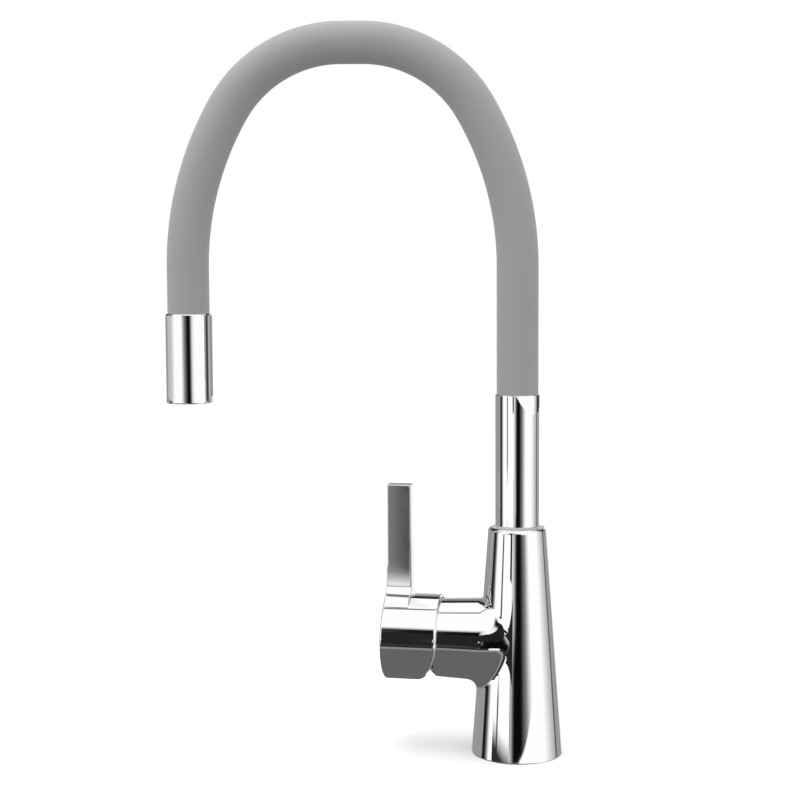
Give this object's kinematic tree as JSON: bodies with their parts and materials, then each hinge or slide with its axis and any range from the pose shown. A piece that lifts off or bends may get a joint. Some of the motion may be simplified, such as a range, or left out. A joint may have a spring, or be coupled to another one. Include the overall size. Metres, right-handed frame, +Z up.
{
  "type": "kitchen faucet",
  "caption": "Single-lever kitchen mixer with a tapered chrome body, an upright side lever and a high swivelling spout of bendable grey silicone hose.",
  "frame": {"origin": "centre of the foot, on the deck", "axes": "+Z is up along the body, -X is the axis of the handle hub, from the body outwards, and the user stands on that side; the spout at rest is turned 11.5 degrees from -X towards -Y"},
  "size_m": [0.2185, 0.0754, 0.4099],
  "materials": {
    "chrome_body": "polished plating on cast brass",
    "chrome_handle": "polished plating on a cast handle",
    "chrome_tube": "polished plating on turned brass tube",
    "silicone": "matte extruded silicone",
    "brass": "turned, unplated",
    "steel": "drawn stainless",
    "rubber": "moulded rubber",
    "ceramic": "lapped ceramic",
    "cartridge_plastic": "moulded, slightly satin",
    "bearing_plastic": "moulded low-friction plastic",
    "liner_plastic": "extruded hose liner",
    "aerator_plastic": "moulded aerator insert",
    "plug_plastic": "moulded plug"
  },
  "bodies": {
    "root": {"body_casting": "chrome_body", "deck_seal": "rubber", "spout_lock_screw": "steel", "cartridge_base": "cartridge_plastic", "port_seals": "rubber", "fixed_disc": "ceramic", "cartridge_housing": "cartridge_plastic", "cartridge_nut": "brass", "dome_cover": "chrome_body"},
    "mixer": {"cartridge_turret": "cartridge_plastic", "stem_pin": "steel"},
    "lever": {"stem": "steel", "handle": "chrome_handle", "handle_set_screw": "steel", "screw_hole_plug": "plug_plastic"},
    "disc": {"moving_disc": "ceramic", "disc_carrier": "cartridge_plastic"},
    "spout": {"swivel_washer": "bearing_plastic", "swivel_spigot": "brass", "slip_rings": "bearing_plastic", "spigot_orings": "rubber", "riser_tube": "chrome_tube", "hose_ferrule": "brass", "riser_sleeve": "silicone", "riser_core": "steel", "riser_liner": "liner_plastic"},
    "neck": {"neck_sleeve": "silicone", "neck_core": "steel", "neck_liner": "liner_plastic"},
    "outlet": {"outlet_sleeve": "silicone", "outlet_core": "steel", "outlet_liner": "liner_plastic", "outlet_adapter": "brass", "outlet_housing": "chrome_tube", "aerator_gasket": "rubber", "aerator_insert": "aerator_plastic", "aerator_ring": "chrome_tube"}
  },
  "joints": [
    {"name": "spout_swivel", "type": "hinge", "parent": "root", "child": "spout", "pos_m": [0, 0, 0.11], "axis": [0, 0, 1], "continuous": true},
    {"name": "neck_bend", "type": "hinge", "parent": "spout", "child": "neck", "pos_m": [-0.08398, -0.01709, 0.3982], "axis": [-0.1994, 0.9799, 0], "range_deg": [-25, 25]},
    {"name": "outlet_sway", "type": "hinge", "parent": "neck", "child": "outlet", "pos_m": [-0.17972, -0.03656, 0.27507], "axis": [-0.9799, -0.1994, 0], "range_deg": [-25, 25]},
    {"name": "mix_turn", "type": "hinge", "parent": "root", "child": "mixer", "pos_m": [-0.04018, 0, 0.0639], "axis": [-1, 0, 0], "range_deg": [-45, 45]},
    {"name": "flow_tilt", "type": "hinge", "parent": "mixer", "child": "lever", "pos_m": [-0.04018, 0, 0.0639], "axis": [0, -1, 0], "range_deg": [0, 25]},
    {"name": "disc_slide", "type": "slide", "parent": "mixer", "child": "disc", "axis": [0, 0, 1], "range_m": [0, 0.0039]}
  ],
  "couplings": [
    {"joint": "disc_slide", "follows": "flow_tilt", "m_per_rad": 0.008814}
  ]
}
